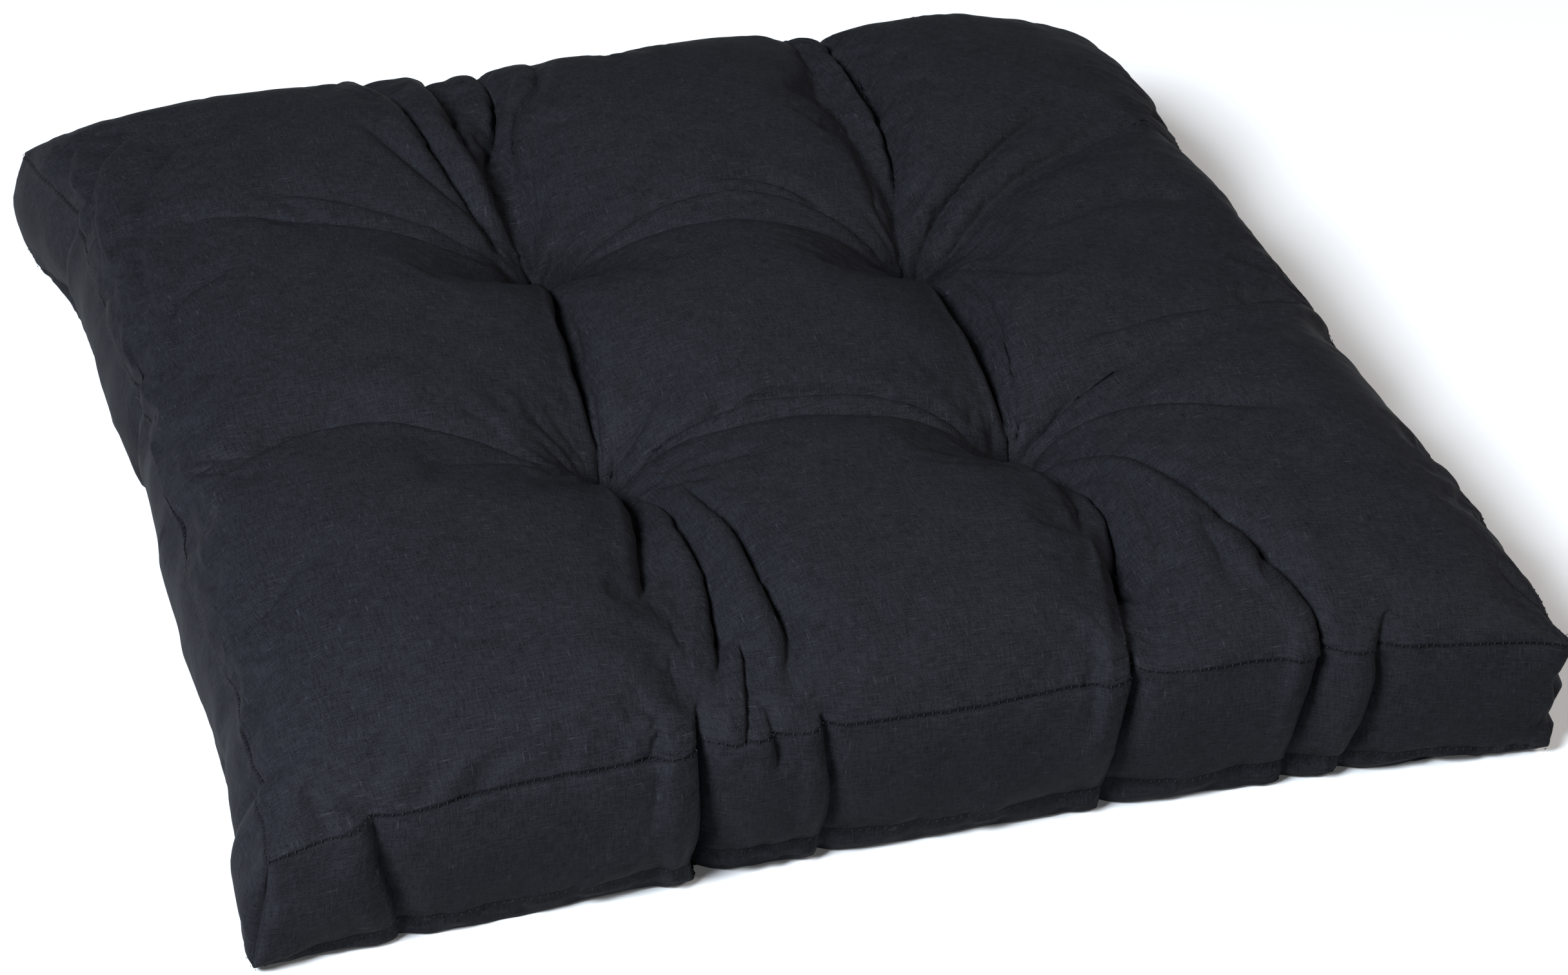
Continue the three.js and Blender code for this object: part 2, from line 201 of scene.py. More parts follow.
folds = [
    # name, path on the flat pattern, depth at its start and end, half width, lean: the steep side that
    # rolls over the crease, 1 for the left of the path and -1 for its right
    ("leftValley", [(-82, 82), (-90, 30), (-95, -20), (-98, -74)], 5, 5, 3.0, -1),
    ("rightValley", [(106, 50), (101, 0), (97, -50), (97, -103)], 5, 5, 3.0, -1),
    ("rightValleyTwin", [(114, 32), (113, -20), (107, -84)], 4, 3, 4.5, 1),
    ("frontValley", [(-89, -83), (-20, -83), (39, -93), (88, -111)], 4, 4, 3.5, -1),
    ("backValley", [(-74, 90), (0, 98), (59, 85), (98, 62)], 4, 4, 3.5, -1),
    ("backValleyTwin", [(8, 108), (40, 104), (68, 88)], 4, 3, 3.5, -1),
    ("fanOuter", [(-92, 102), (-102, 120), (-116, 169), (-124, 228), (-131, 258), (-133, 320)],
        6, 8, 5.0, 1),
    ("fanSoft", [(-96, 98), (-108, 120), (-128, 157), (-154, 211)], 5, 3, 6.0, 1),
    ("fanSecond", [(-87, 104), (-94, 162), (-96, 215), (-98, 264), (-97, 330)], 8, 10, 5.0, 1),
    ("fanThird", [(-86, 106), (-89, 149), (-82, 200), (-72, 250), (-70, 330)], 6, 13, 5.5, 1),
    ("fanInner", [(-82, 104), (-76, 177), (-62, 216), (-45, 243), (-36, 300)], 4, 4, 5.0, 1),
    ("fanShort", [(-78, 106), (-66, 168), (-50, 204)], 3, 2, 5.0, 1),
    ("leftSoft", [(-96, 94), (-125, 98), (-167, 112), (-196, 122), (-236, 136)], 4, 2, 6.0, 1),
    ("leftSoftTwin", [(-94, 98), (-136, 115), (-183, 138), (-214, 150)], 3, 2, 5.5, 1),
    ("backPleat", [(103, 71), (117, 150), (122, 206), (124, 262), (122, 350)], 9, 13, 5.5, 1),
    ("backSlit", [(121, 170), (126, 200), (131, 238)], 5, 5, 4.0, 1),
    ("backSoft", [(95, 79), (105, 151), (105, 200), (113, 254)], 5, 3, 6.0, 1),
    ("backSideFold", [(111, 67), (126, 83), (147, 98), (193, 131), (224, 146)], 8, 3, 5.5, 1),
    ("backSideTwin", [(114, 61), (136, 71), (187, 99), (249, 126)], 7, 3, 5.5, 1),
    ("sideRipple", [(159, 32), (202, 46), (230, 51), (262, 40)], 2, 3, 6.0, 1),
    ("rightCrease", [(130, -73), (187, -64), (226, -58), (262, -48), (340, -40)], 3, 5, 6.0, -1),
    ("rightSideFold", [(104, -111), (122, -113), (151, -123), (187, -142), (216, -155)], 8, 3, 5.0, -1),
    ("rightSideTwin", [(102, -107), (134, -97), (180, -84)], 5, 2, 5.0, -1),
    ("sweep", [(96, -124), (120, -154), (133, -177), (148, -219), (158, -247), (170, -278), (169, -300),
        (164, -335), (166, -375)], 11, 18, 5.0, -1),
    ("sweepTwin", [(152, -222), (155, -244), (156, -262)], 6, 3, 4.5, -1),
    ("frontPleat", [(93, -126), (99, -162), (101, -197), (94, -240), (85, -280), (81, -303), (77, -331),
        (79, -385)], 9, 17, 5.5, -1),
    ("frontPleatTwin", [(83, -135), (91, -180), (89, -216)], 7, 4, 4.5, -1),
    ("frontSlit", [(98, -240), (96, -263), (88, -298)], 4, 7, 4.0, -1),
    ("rightNick", [(214, -276), (200, -299), (200, -312), (196, -341), (192, -372)], 5, 12, 5.5, -1),
    ("shortPleat", [(-100, -91), (-102, -141), (-113, -189), (-117, -220)], 9, 5, 4.5, -1),
    ("longPleat", [(-96, -102), (-90, -150), (-91, -205), (-96, -240), (-99, -276)], 5, 10, 4.5, -1),
    ("innerPleat", [(-77, -126), (-69, -180), (-68, -220), (-66, -250), (-70, -276)], 7, 9, 4.5, -1),
    ("lowSlit", [(-85, -248), (-91, -277), (-96, -302)], 7, 8, 3.8, -1),
    ("highSlit", [(-86, -280), (-83, -300), (-80, -316)], 4, 5, 4.0, -1),
    ("deepPleat", [(-111, -274), (-117, -299), (-117, -329), (-113, -392)], 8, 20, 6.0, -1),
    ("softRidge", [(-118, -248), (-121, -285)], 3, 3, 4.5, -1),
    ("middleNick", [(-61, -290), (-60, -306), (-57, -335), (-56, -372)], 5, 11, 4.5, -1),
    ("cornerDent", [(-264, -286), (-256, -300), (-252, -319), (-246, -341), (-240, -370)],
        5, 10, 5.5, -1),
    ("cornerShade", [(-274, -276), (-273, -300)], 4, 3, 5.0, -1),
    ("cornerTuckHigh", [(-300, -322), (-282, -323)], 4, 2, 4.0, -1),
    ("cornerTuckLow", [(-300, -340), (-280, -346)], 4, 2, 4.0, -1),
    ("tipNick", [(280, -323), (300, -322)], 2, 7, 4.0, -1),
    ("tipNickSide", [(322, -300), (323, -276)], 7, 2, 4.0, -1),
    ("tipNickLow", [(284, -343), (300, -342)], 2, 7, 4.0, -1),
    ("tipNickLowSide", [(342, -300), (343, -276)], 7, 2, 4.0, -1),
    ("tipEar", [(276, -262), (292, -278), (300, -292)], 5, 6, 4.5, -1),
    ("rippleOne", [(139, -215), (141, -240), (139, -266)], 3, 3, 5.0, -1),
    ("rippleTwo", [(119, -185), (116, -225), (108, -256)], 3, 2, 5.0, -1),
    ("leftMiddle", [(-278, -92), (-258, -70), (-235, -58), (-202, -59), (-158, -75), (-123, -90)],
        8, 5, 5.5, -1),
    ("leftMiddleTwin", [(-182, -103), (-156, -100), (-125, -94)], 3, 3, 5.0, -1),
    ("leftHigh", [(-286, 44), (-257, 71), (-236, 84)], 4, 3, 6.0, -1),
    ("leftLow", [(-284, -187), (-266, -176), (-250, -158)], 6, 3, 6.0, -1),
    ("leftCornerDent", [(-276, -262), (-300, -260), (-342, -252)], 3, 6, 6.0, 1),
    ("leftLong", [(-226, 262), (-262, 236), (-281, 190), (-286, 120)], 5, 4, 6.0, 1),
    ("leftLongTwin", [(-212, 246), (-240, 214), (-262, 160), (-272, 90), (-274, 20)], 4, 4, 5.5, 1),
    ("leftLongThird", [(-258, 262), (-282, 246), (-294, 205)], 3, 3, 5.5, 1),
    ("leftLongFourth", [(-236, 150), (-256, 90), (-268, 20), (-272, -40)], 3, 3, 5.0, 1),
    ("backDent", [(20, 286), (22, 350)], 3, 6, 6.0, 1),
    ("backDentTwin", [(206, 284), (210, 350)], 4, 8, 6.0, 1),
    ("rightDent", [(290, 176), (345, 170)], 4, 7, 6.0, 1),
    ("rightDentLow", [(284, -196), (345, -206)], 3, 6, 6.0, 1),
    ("leftDent", [(-290, 28), (-345, 20)], 4, 7, 6.0, 1),
    ("leftDentHigh", [(-286, 196), (-345, 204)], 4, 7, 6.0, 1),
]

foldShape = {
    "steps": 14,       # straight steps along a fold's curve
    "atEnds": 0.15, "fadeRate": 4.0,    # share of the depth at its ends, and how fast it grows from there
    "steepSide": 0.75, "softSide": 1.35, "creasePower": 1.25,
    "rollShare": 0.3, "rollPlace": 1.6,    # share of the depth that rolls up beside a fold
    "tuckShare": 0.4, "tuckPlace": 0.8, "tuckReach": 0.6,    # how far the roll leans over the fold
    "gripDepth": 8.0, "gripReach": 0.4,    # a fold this deep is held still while the filling swells
}

netPaths = {
    # lines of the net that follow the valleys: own place, then (place along, path) points
    "columns": [
        (-92.0, [(-300, -112), (-83, -98), (90, -82), (300, -90)]),
        (106.0, [(-300, 88), (-113, 97), (58, 106), (300, 118)]),
        (172.0, [(-300, 178), (-247, 167), (-177, 150), (-120, 158), (300, 172)]),
    ],
    "rows": [
        (-96.0, [(-300, -60), (-98, -83), (97, -113), (300, -60)]),
        (76.0, [(-300, 140), (-82, 90), (106, 58), (300, 130)]),
    ],
    "columnCrowds": [(-300, 16, 3.0), (-92, 40, 1.6), (106, 32, 1.6), (168, 16, 1.6), (300, 16, 3.0)],
    "rowCrowds": [(-300, 16, 3.0), (-96, 40, 0.8), (76, 40, 0.8), (300, 16, 3.0)],
    "reach": 95.0,
    "shortReach": 44.0,
}


def unit(a):
    return a / np.maximum(np.linalg.norm(a, axis=-1, keepdims=True), 1e-9)


def bell(distance, reach):
    return np.exp(-(distance / reach) ** 2)


def smoothNoise(x, y, seed):
    # value noise: random numbers on a lattice, blended between lattice points by 3t^2 - 2t^3
    lattice = np.random.default_rng(seed).uniform(-1.0, 1.0, (64, 64))
    x, y = np.broadcast_arrays(np.asarray(x, float), np.asarray(y, float))
    column, row = np.floor(x).astype(int), np.floor(y).astype(int)
    s, t = x - column, y - row
    s, t = s * s * (3 - 2 * s), t * t * (3 - 2 * t)
    value = lambda i, j: lattice[(row + j) % 64, (column + i) % 64]
    low = value(0, 0) * (1 - s) + value(1, 0) * s
    high = value(0, 1) * (1 - s) + value(1, 1) * s
    return low * (1 - t) + high * t


def spreadStops(count, crowds):
    # stops from -1 to 1 whose spacing shrinks where the weight 1 + sum of bells is larger
    places = np.linspace(-half, half, 4001)
    weight = np.ones_like(places)
    for at, reach, extra in crowds:
        weight += extra * bell(places - at, reach)
    total = np.concatenate([[0.0], np.cumsum((weight[1:] + weight[:-1]) / 2)])
    stops = np.interp(np.linspace(0, total[-1], count + 1), total, places) / half
    stops[0], stops[-1] = -1.0, 1.0
    return stops


def netStops():
    across = spreadStops(cover["columns"], netPaths["columnCrowds"])
    return across, spreadStops(cover["rows"], netPaths["rowCrowds"])


def followPaths(place, along, paths):
    # shifts a line of the net towards the path beside it, by (1 - distance^2)^2
    shift = np.zeros_like(place)
    for at, path in paths:
        reach = netPaths["reach"] if abs(at) < 150 else netPaths["shortReach"]
        near = np.clip(1 - ((place - at) / reach) ** 2, 0, None) ** 2
        shift += near * (np.interp(along, [p[0] for p in path], [p[1] for p in path]) - at)
    return place + shift


def crossing(u, v):
    # the place on a panel of one crossing of the net
    x = followPaths(u * half, v * half, netPaths["columns"])
    y = followPaths(v * half, u * half, netPaths["rows"])
    return x / half, y / half


def nearestOnRun(x, y, start, end):
    # distance to a straight run, its sign (left of the run is positive) and the share along it
    alongX, alongY = end[0] - start[0], end[1] - start[1]
    square = alongX ** 2 + alongY ** 2
    share = np.clip(((x - start[0]) * alongX + (y - start[1]) * alongY) / square, 0, 1)
    offX, offY = x - start[0] - share * alongX, y - start[1] - share * alongY
    side = np.sign(alongX * offY - alongY * offX)
    return np.hypot(offX, offY), side, share, offX, offY


def trough(away, reach, bed, upright):
    # 1 in the bed and 0 beyond the reach, along the two round pillows that meet there
    left = np.clip(1 - (np.hypot(away, bed) - bed) / reach, 0, 1)
    return (1 - np.sqrt(1 - upright * left ** 2)) / (1 - np.sqrt(1 - upright))


def sagDepth(x, y):
    # depth of valleys and tufts: a trough along each valley and round each tuft, the deepest leading
    power = cover["blendPower"]
    total = np.zeros_like(x)
    pit = np.zeros_like(x)
    for start, end, middle, last, leftReach, rightReach, bed, leftUpright in valleys:
        distance, side, share, _, _ = nearestOnRun(x, y, start, end)
        reach = np.where(side > 0, leftReach, rightReach)
        upright = np.where(side > 0, leftUpright, steep)
        fall = np.clip(1 - 2 * share, 0, 1) ** cover["valleyPower"]
        first = middle + (cover["valleyAtTuft"] - middle) * fall
        depth = first + (last - middle) * np.clip(2 * share - 1, 0, 1) ** 2
        total += (depth * trough(distance, reach, bed, upright)) ** power
    for tuftX, tuftY in tufts.values():
        away = np.hypot(x - tuftX, y - tuftY)
        slope = np.hypot(away, cover["tuftBed"]) - cover["tuftBed"]
        total += (cover["tuftDepth"] * np.exp(-slope / cover["tuftReach"])) ** power
        pit += cover["pitDepth"] * bell(away, cover["pitReach"])
    return total ** (1 / power) + pit


def dome(u, v, power):
    # 1 over a panel's middle, falling to 0 at its edges in a round shoulder
    return np.sqrt(np.clip(1 - np.abs(u) ** power, 0, 1) * np.clip(1 - np.abs(v) ** power, 0, 1))


def bySide(along, lowSide, highSide, part):
    # a value of the side at the low end of an axis, or of the side at its high end
    return np.where(along < 0, sideSwell[lowSide][part], sideSwell[highSide][part])


def crownShare(u, v):
    # the same over the top panel, each side with its own shoulder: (1 - distance^power)^edge
    share = np.ones_like(u)
    for along, lowSide, highSide in ((u, "left", "right"), (v, "front", "back")):
        power = bySide(along, lowSide, highSide, 4)
        edge = bySide(along, lowSide, highSide, 5)
        share = share * np.clip(1 - np.abs(along) ** power, 0, 1) ** edge
    return share


def seamHeights(u, v):
    lift = 1 - np.abs(u * v) ** cover["seamPower"]
    return cover["cornerSeam"] + cover["seamLift"] * lift, cover["cornerLow"] + cover["lowLift"] * lift


def planPlace(along, across, lowSide, highSide, part):
    # along one axis: drawn in between the corners, and swelling past the seam just inside it
    drawn = bySide(along, lowSide, highSide, 0)
    if part == 3:
        drawn = drawn + bySide(along, lowSide, highSide, 6)
    swell = bySide(along, lowSide, highSide, part)
    drawn = drawn * np.abs(along) ** cover["drawnPower"] * (1 - across ** 2)
    wave = np.sin(np.pi * np.abs(along) ** cover["shoulderPower"])
    swell = swell * wave * (1 - np.abs(across) ** cover["drawnPower"])
    return along * half + np.sign(along) * (swell - drawn)


def nearCorner(u, v, place, reach):
    # 1 at a corner of the panel, falling to 0 round it
    away = (u * half - place[0]) ** 2 + (v * half - place[1]) ** 2
    return np.exp(-away / reach ** 2)


def planPoint(u, v, part):
    x, y = planPlace(u, v, "left", "right", part), planPlace(v, u, "front", "back", part)
    for corner, reach, top, low, _ in cornerShape:
        near = nearCorner(u, v, corner, reach)
        shiftX, shiftY = low if part == 3 else top
        x, y = x + shiftX * near, y + shiftY * near
    return x, y


def roundCorners(x, y, u, v, reach):
    # pulls the last millimetres of a corner in by half the square of how far they reach past it
    past = np.clip(np.abs(u) + np.abs(v) - 2 + reach / half, 0, None) * half
    pull = 0.5 * past ** 2 / reach
    return x - np.sign(x) * pull, y - np.sign(y) * pull


def topPanel():
    u, v = crossing(*np.meshgrid(*netStops()))
    x, y = planPoint(u, v, 1)
    rise = crownShare(u, v)
    height = seamHeights(u, v)[0] + cover["crown"] * rise
    height -= sagDepth(x, y) * np.clip(rise * cover["sagAtEdge"], 0, 1)
    x, y = roundCorners(x, y, u, v, cover["tipRound"])
    return np.stack([x, y, height], -1), np.stack([u, v], -1) * half


def ringStops():
    # once round the edge, anticlockwise from the front left corner, with the way out of each side
    across, along = netStops()
    one = np.ones
    u = np.concatenate([across[:-1], one(len(along) - 1), across[:0:-1], -one(len(along) - 1)])
    v = np.concatenate([-one(len(across) - 1), along[:-1], one(len(across) - 1), along[:0:-1]])
    sides = np.repeat(np.arange(4), [len(across) - 1, len(along) - 1] * 2)
    u, v = crossing(u, v)
    return u, v, sides


waysOut = np.array([(0.0, -1.0), (1.0, 0.0), (0.0, 1.0), (-1.0, 0.0)])
sideNames = ["front", "right", "back", "left"]
dropStops = np.array(
    [0, 0.012, 0.028, 0.055, 0.1, 0.17, 0.25, 0.34, 0.43, 0.52, 0.61, 0.7, 0.79, 0.87, 0.93, 0.97, 1])


def sideWall():
    # the strip, then the rings that curl under it, each a row once round the cushion
    u, v, sides = ringStops()
    out = waysOut[sides]
    share = np.where(sides % 2 == 0, u, v)
    x, y = planPoint(u, v, 1)
    lowX, lowY = planPoint(u, v, 3)
    high, low = seamHeights(u, v)
    strip = np.array([sideSwell[name][2] for name in sideNames])[sides]
    drop = dropStops[:, None]
    x, y = x + (lowX - x) * drop, y + (lowY - y) * drop
    bulge = strip * np.sin(np.pi * drop) * (1 - np.abs(share) ** cover["stripPower"])
    sideX, sideY = x + out[:, 0] * bulge, y + out[:, 1] * bulge
    for corner, reach, _, _, swell in cornerShape:
        near = nearCorner(u, v, corner, reach)
        bulge = cover["cornerBulge"] * swell * near * np.sin(np.pi * drop)
        sideX, sideY = sideX + np.sign(corner[0]) * bulge, sideY + np.sign(corner[1]) * bulge
    reach = cover["tipRound"] + cover["stripRound"] * np.sin(np.pi * drop)
    sideX, sideY = roundCorners(sideX, sideY, u, v, reach)
    down = drop * (high - low)
    points = [np.stack([sideX, sideY, high - down], -1)]
    lowSeam = [down - (high - low)]
    pattern = [np.stack([u * half + out[:, 0] * down, v * half + out[:, 1] * down], -1)]
    for inset in cover["insets"]:
        ringPoints, ringPattern = underPanel(u * inset, v * inset, out)
        points.append(ringPoints[None])
        pattern.append(ringPattern[None])
        lowSeam.append((1 - np.full(len(u), inset))[None] * half)
    ring = np.stack([u, v], -1) * half
    return np.concatenate(points), np.concatenate(pattern), ring, sides, np.concatenate(lowSeam)


def underPanel(u, v, out):
    # round at its edges, hollow under each tuft, and flat where the cushion rests
    x, y = planPoint(u, v, 3)
    height = seamHeights(u, v)[1] - cover["underDrop"] * dome(u, v, cover["underPower"])
    for tuftX, tuftY in tufts.values():
        away = np.hypot(x - tuftX, y - tuftY)
        height = height + cover["underTuftDepth"] * bell(away, cover["underTuftReach"])
    x, y = roundCorners(x, y, u, v, cover["tipRound"])
    strip = cover["cornerSeam"] + cover["seamLift"] - cover["cornerLow"] - cover["lowLift"]
    past = strip + (1 - np.maximum(np.abs(u), np.abs(v))) * half
    pattern = np.stack([u * half + out[..., 0] * past, v * half + out[..., 1] * past], -1)
    return np.stack([x, y, np.clip(height, 0, None)], -1), pattern


def foldCurve(path):
    # a smooth curve through the path's points: cubic Hermite steps with Catmull-Rom tangents
    points = np.array([path[0], *path, path[-1]], float)
    points[0] = 2 * points[1] - points[2]
    points[-1] = 2 * points[-2] - points[-3]
    place = np.linspace(0, len(path) - 1, foldShape["steps"] + 1)
    k = np.minimum(place.astype(int), len(path) - 2)
    t = (place - k)[:, None]
    a, b, c, d = points[k], points[k + 1], points[k + 2], points[k + 3]
    bend = (2 * a - 5 * b + 4 * c - d) * t ** 2
    return 0.5 * (2 * b + (c - a) * t + bend + (3 * b - a - 3 * c + d) * t ** 3)


def foldField(pattern):
    # depth of all folds at each pattern point, and the sideways tuck of the cloth rolled beside them
    shape, steps = foldShape, foldShape["steps"]
    x, y = pattern[..., 0].ravel(), pattern[..., 1].ravel()
    depth, tuck, held = np.zeros_like(x), np.zeros((len(x), 2)), np.zeros_like(x)
    for name, path, first, last, reach, lean in folds:
        curve = foldCurve(path)
        margin = 4 * reach
        low, high = curve.min(0) - margin, curve.max(0) + margin
        near = np.flatnonzero((x > low[0]) & (x < high[0]) & (y > low[1]) & (y < high[1]))
        if not len(near):
            continue
        best = np.full(len(near), np.inf)
        share, side = np.zeros(len(near)), np.zeros(len(near))
        away = np.zeros((len(near), 2))
        for k in range(steps):
            distance, sign, part, offX, offY = nearestOnRun(x[near], y[near], curve[k], curve[k + 1])
            closer = distance < best
            best = np.where(closer, distance, best)
            side = np.where(closer, sign, side)
            share = np.where(closer, (k + part) / steps, share)
            away = np.where(closer[:, None], np.stack([offX, offY], -1), away)
        fade = np.clip(shape["atEnds"] + shape["fadeRate"] * np.minimum(share, 1 - share), 0, 1)
        size = (first + (last - first) * share) * fade
        signed = best * side * lean
        width = reach * np.where(signed > 0, shape["steepSide"], shape["softSide"])
        crease = np.exp(-(best / width) ** shape["creasePower"])
        roll = bell(signed - shape["rollPlace"] * reach, reach)
        depth[near] += size * (crease - shape["rollShare"] * roll)
        lip = bell(signed - shape["tuckPlace"] * reach, shape["tuckReach"] * reach)
        outwards = away / np.maximum(best, 1e-6)[:, None]
        tuck[near] -= outwards * (shape["tuckShare"] * size * lip)[:, None]
        grip = np.clip(size / shape["gripDepth"], 0, 1) * bell(best, shape["gripReach"] * reach)
        held[near] = np.maximum(held[near], grip)
    net = pattern.shape[:-1]
    return depth.reshape(net), tuck.reshape(pattern.shape), held.reshape(net)


def gradient(values, axis, closed):
    # central differences along one axis of a grid, wrapping where the grid closes on itself
    if closed:
        return (np.roll(values, -1, axis) - np.roll(values, 1, axis)) / 2
    return np.gradient(values, axis=axis)


def surfaceFrame(points, flat, near, closed):
    # the way out of the cloth, level where it follows a side, and the 3-D steps along the net's two lines
    stepI, stepJ = gradient(points, 1, closed), gradient(points, 0, False)
    level = np.concatenate([flat, np.zeros(flat.shape[:-1] + (1,))], -1)
    outward = unit(np.cross(stepI, stepJ)) * (1 - near[..., None]) + level * near[..., None]
    return unit(outward), unit(stepI), unit(stepJ)


def sideways(pattern):
    # the way out of the nearest side, and how much the cloth follows it: 1 at the side itself
    u, v = pattern[..., 0] / half, pattern[..., 1] / half
    near = np.clip(1 - (1 - np.maximum(np.abs(u), np.abs(v))) * half / cover["sideReach"], 0, 1)
    wide = np.abs(u) > np.abs(v)
    return np.stack([np.where(wide, np.sign(u), 0), np.where(wide, 0, np.sign(v))], -1), np.sqrt(near)


def sinkFolds(points, pattern, flat, near, closed):
    # moves each point inwards by the depth of its folds, and sideways by their tuck
    outward, stepI, stepJ = surfaceFrame(points, flat, near, closed)
    depth, tuck, held = foldField(pattern)
    # pattern directions of the two net lines, to turn the tuck into a 3-D step
    lineI, lineJ = unit(gradient(pattern, 1, closed)), unit(gradient(pattern, 0, False))
    shareI = (tuck * lineI).sum(-1, keepdims=True)
    shareJ = (tuck * lineJ).sum(-1, keepdims=True)
    return points - outward * depth[..., None] + stepI * shareI + stepJ * shareJ, held


top, topPattern = topPanel()
wall, wallPattern, ring, wallSides, wallLowSeam = sideWall()
flatTop, nearTop = sideways(topPattern)
top, topHeld = sinkFolds(top, topPattern, flatTop, nearTop, False)
wallOut = np.broadcast_to(waysOut[wallSides], wallPattern.shape)
wall, wallHeld = sinkFolds(wall, wallPattern, wallOut, np.ones(wallPattern.shape[:-1]), True)
plain = np.concatenate([top.reshape(-1, 3), wall.reshape(-1, 3)])
shift = (plain.max(0) + plain.min(0)) / 2 * (1, 1, 0)  # puts the middle of the cushion over the origin
print("panels shaped:", top.shape, wall.shape)


def edgeOf(grid):
    # the edge of a grid once round, in the wall's order
    return np.concatenate([grid[0, :-1], grid[:-1, -1], grid[-1, :0:-1], grid[:0:-1, 0]])


def gridFaces(grid):
    return np.stack([grid[:-1, :-1], grid[:-1, 1:], grid[1:, 1:], grid[1:, :-1]], -1).reshape(-1, 4)


def coverNet(top, wall):
    # numbers of the top's and the wall's points, whose first row is the top's edge, and their faces
    topIndex = np.arange(top[..., 0].size).reshape(top.shape[:2])
    rest = topIndex.size + np.arange(wall[1:, :, 0].size).reshape(-1, wall.shape[1])
    wallIndex = np.concatenate([edgeOf(topIndex)[None], rest])
    after = np.roll(wallIndex, -1, 1)
    wallFaces = np.stack([wallIndex[1:], after[1:], after[:-1], wallIndex[:-1]], -1).reshape(-1, 4)
    return topIndex, wallIndex, [gridFaces(topIndex), wallFaces]


def joinCover(top, wall, topPattern, wallPattern, ring, sides):
    # one closed mesh: top panel, wall rows, and a coarser flat underside fanned into the last ring;
    # with it the flat pattern place of every face corner, each panel cut along its seams
    step, strip = cover["underStep"], len(dropStops)
    topIndex, wallIndex, quads = coverNet(top, wall)
    points = [top.reshape(-1, 3), wall[1:].reshape(-1, 3)]
    places = [topPattern.reshape(-1, 2)[quads[0]]]
    # the strip unfolds side by side, so each face takes both its ends from its own side
    out = waysOut[sides]
    nextRing = np.roll(ring, -1, 0)
    down = ((wallPattern[:strip] - ring) * out).sum(-1, keepdims=True)
    inward = np.array(cover["insets"])[:, None, None]
    here = np.concatenate([ring + out * down, ring * inward])
    there = np.concatenate([nextRing + out * np.roll(down, -1, 1), nextRing * inward])
    wallPlaces = np.stack([here[1:], there[1:], there[:-1], here[:-1]], 2)
    wallPlaces[strip - 1, :, 2], wallPlaces[strip - 1, :, 3] = nextRing, ring
    places.append(wallPlaces.reshape(-1, 4, 2))
    # underside net inside the last ring
    across, along = netStops()
    u, v = crossing(*np.meshgrid(across[::step], along[::step]))
    inset = cover["insets"][-1] - cover["underGap"]
    under, _ = underPanel(u * inset, v * inset, np.zeros(u.shape + (2,)))
    underIndex = topIndex.size + wallIndex[1:].size + np.arange(u.size).reshape(u.shape)
    points.append(under.reshape(-1, 3))
    quads.append(gridFaces(underIndex)[:, ::-1])
    flat = np.zeros((underIndex[-1, -1] + 1, 2))
    flat[wallIndex[-1]] = ring * inward[-1]
    flat[underIndex] = np.stack([u, v], -1) * inset * half
    places.append(flat[quads[-1]])
    outer, inner = wallIndex[-1], edgeOf(underIndex)
    innerAfter = np.roll(inner, -1)
    first = np.arange(0, len(outer), step)
    fans = []
    for k in range(step):
        tip = inner if k < step // 2 else innerAfter
        fans.append(np.stack([outer[(first + k + 1) % len(outer)], outer[first + k], tip], -1))
    fans.append(np.stack([outer[first + step // 2], inner, innerAfter], -1))
    fans = np.concatenate(fans)
    return np.concatenate(points), np.concatenate(quads), fans, np.concatenate(places), flat[fans]


def addMesh(name, points, quads, triangles, places=None):
    # places, if given, become the map "pattern", in metres on the flat pattern
    mesh = bpy.data.meshes.new(name)
    loops = np.concatenate([quads.ravel(), triangles.ravel()]).astype(np.int32)
    mesh.vertices.add(len(points))
    mesh.vertices.foreach_set("co", points.astype(np.float32).ravel())
    mesh.loops.add(len(loops))
    mesh.loops.foreach_set("vertex_index", loops)
    mesh.polygons.add(len(quads) + len(triangles))
    starts = np.concatenate([np.arange(len(quads)) * 4, len(quads) * 4 + np.arange(len(triangles)) * 3])
    mesh.polygons.foreach_set("loop_start", starts.astype(np.int32))
    if places is not None:
        mesh.uv_layers.new(name="pattern").data.foreach_set("uv", places.astype(np.float32).ravel())
    mesh.update(calc_edges=True)
    mesh.validate()
    mesh.shade_smooth()
    piece = bpy.data.objects.new(name, mesh)
    scene.collection.objects.link(piece)
    return piece


# the filling pushes the cloth out between what holds it: tufts, creases and the ring it rests on
filling = {
    "frames": 16,
    "pressure": 4.0,
    "spareCloth": 0.015,   # share of extra length, which wrinkles
    "cloth": {
        "quality": 6,
        "mass": 0.1,
        "tension_stiffness": 80.0,
        "compression_stiffness": 20.0,
        "shear_stiffness": 5.0,
        "bending_stiffness": 0.3,
        "air_damping": 1.0,
    },
    "cap": 7.0,            # millimetres a point may move
    "stripSwell": 0.45,    # share of it on the side strip
    "tuftGrip": 7.0,       # radius that a tuft holds still
    "tuftHeights": (30.0, 90.0),
    "creaseGrip": 0.9,
    "gripLevels": 20,
}


